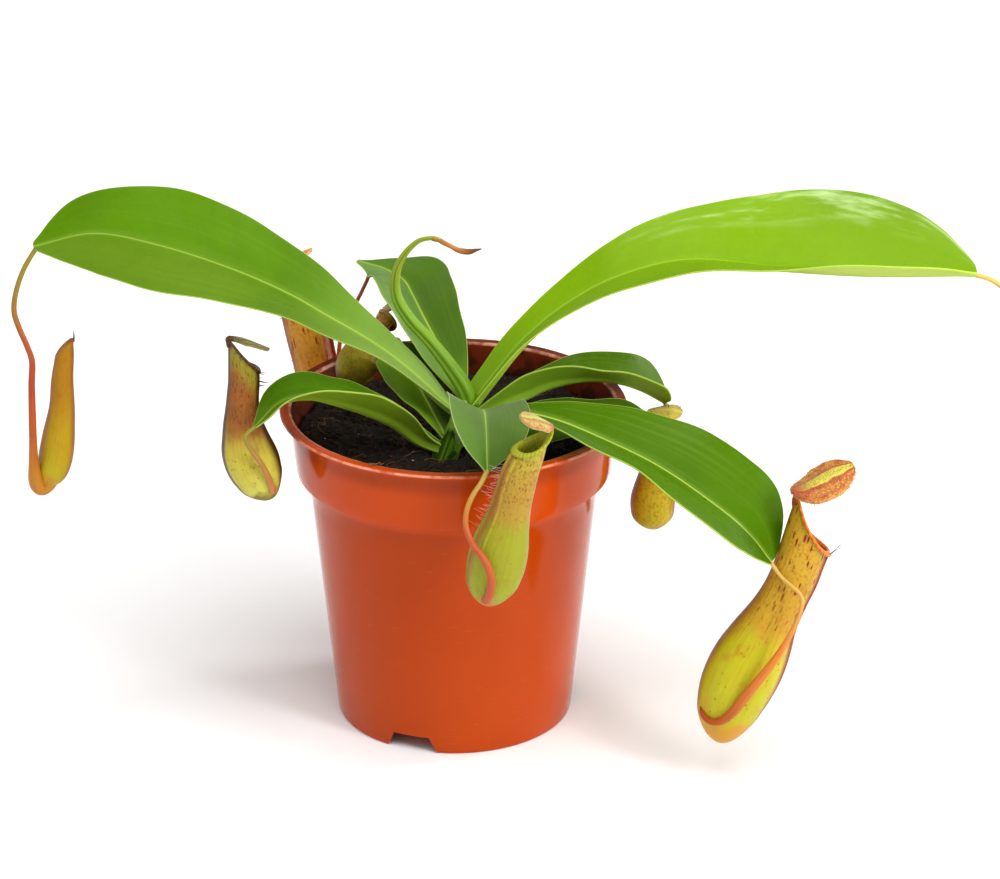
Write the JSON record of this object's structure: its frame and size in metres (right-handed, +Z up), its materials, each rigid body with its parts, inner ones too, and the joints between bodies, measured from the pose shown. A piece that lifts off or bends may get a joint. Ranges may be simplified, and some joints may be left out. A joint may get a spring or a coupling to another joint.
{
  "type": "potted tropical pitcher plant",
  "caption": "Potted tropical pitcher plant: long glossy leaves with tendrils that end in hanging lidded pitchers, in a plastic nursery pot with a wide rim.",
  "frame": {"origin": "on the floor, on the pot's axis, at the middle of its foot", "axes": "+Z up, -Y towards the front, where a pitcher hangs over the rim, +X to the plant's right as seen from the front, towards its long high leaf"},
  "size_m": [0.3627, 0.1567, 0.1903],
  "materials": {
    "pot": "glossy thin orange nursery plastic",
    "soil": "moist dark peat with bark and fibres, rough",
    "stem": "living plant, satin green",
    "leaf_bright": "living leaf, bright green, semi-gloss",
    "leaf_dark": "living leaf, dark green, semi-gloss",
    "leaf_grey": "living leaf, grey green, semi-gloss",
    "leaf_rolled": "young rolled leaf, yellow green, satin",
    "dry_tip": "dry brown leaf tip, matte",
    "tendril": "living tendril, orange brown, satin",
    "pitcher_yellow": "living pitcher, yellow green with red flecks, satin",
    "pitcher_orange": "living pitcher, orange brown, satin",
    "lid": "living pitcher lid, yellow and orange, finely hairy"
  },
  "bodies": {
    "root": {"pot": "pot", "soil": "soil", "stem": "stem", "leaf_far_left": "leaf_bright", "leaf_right_high": "leaf_bright", "leaf_back": "leaf_dark", "leaf_right_small": "leaf_bright", "leaf_right_front": "leaf_bright", "leaf_right_low": "leaf_dark", "leaf_front": "leaf_grey", "leaf_left_small": "leaf_bright", "leaf_back_left": "leaf_dark", "leaf_rolled": "leaf_rolled", "dry_tip": "dry_tip", "tendril_far_left": "tendril", "tendril_right_high": "tendril", "tendril_back": "tendril", "tendril_right_small": "tendril", "tendril_right_front": "tendril", "tendril_front": "tendril", "tendril_left_small": "tendril", "tendril_back_left": "tendril", "pitcher_far_left": "pitcher_orange", "pitcher_right_high": "pitcher_orange", "pitcher_back": "pitcher_orange", "lid_back": "lid", "pitcher_right_small": "pitcher_yellow", "lid_right_small": "lid", "pitcher_right_front": "pitcher_yellow", "lid_right_front": "lid", "pitcher_front": "pitcher_yellow", "lid_front": "lid", "pitcher_left_small": "pitcher_orange", "lid_left_small": "lid", "pitcher_back_left": "pitcher_yellow", "lid_back_left": "lid"}
  },
  "joints": []
}
